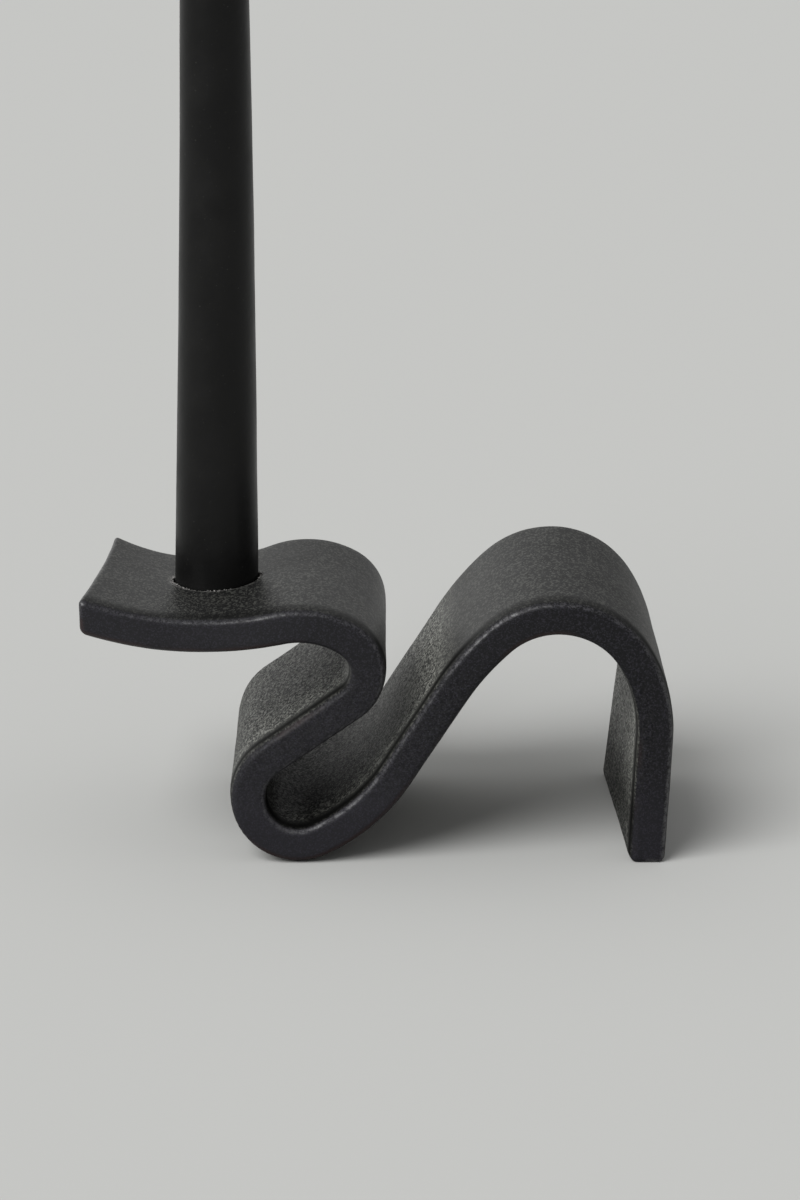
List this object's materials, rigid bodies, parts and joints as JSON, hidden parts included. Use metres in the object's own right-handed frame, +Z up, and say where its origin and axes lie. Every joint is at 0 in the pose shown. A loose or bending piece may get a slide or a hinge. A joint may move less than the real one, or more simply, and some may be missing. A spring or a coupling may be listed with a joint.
{
  "type": "spiral candle holder",
  "caption": "Table candle holder bent from one wide strip of fired clay into a serpentine, with a blind socket in its raised shelf and a tall wax taper that lifts out.",
  "frame": {"origin": "on the table, under the middle of the holder", "axes": "+Z up along the candle, +X from the shelf with the candle towards the foot, +Y from the near edge of the strip to its far edge"},
  "size_m": [0.1514, 0.078, 0.3186],
  "materials": {
    "fired_clay": "matte, finely speckled",
    "black_wax": "satin",
    "wick_cotton": "waxed braid"
  },
  "bodies": {
    "holder": {"clay_ribbon": "fired_clay"},
    "candle": {"wax_taper": "black_wax", "cotton_wick": "wick_cotton"}
  },
  "joints": [
    {"name": "candle_lift", "type": "slide", "parent": "holder", "child": "candle", "axis": [0, 0, 1], "range_m": [0, 0.06]}
  ]
}
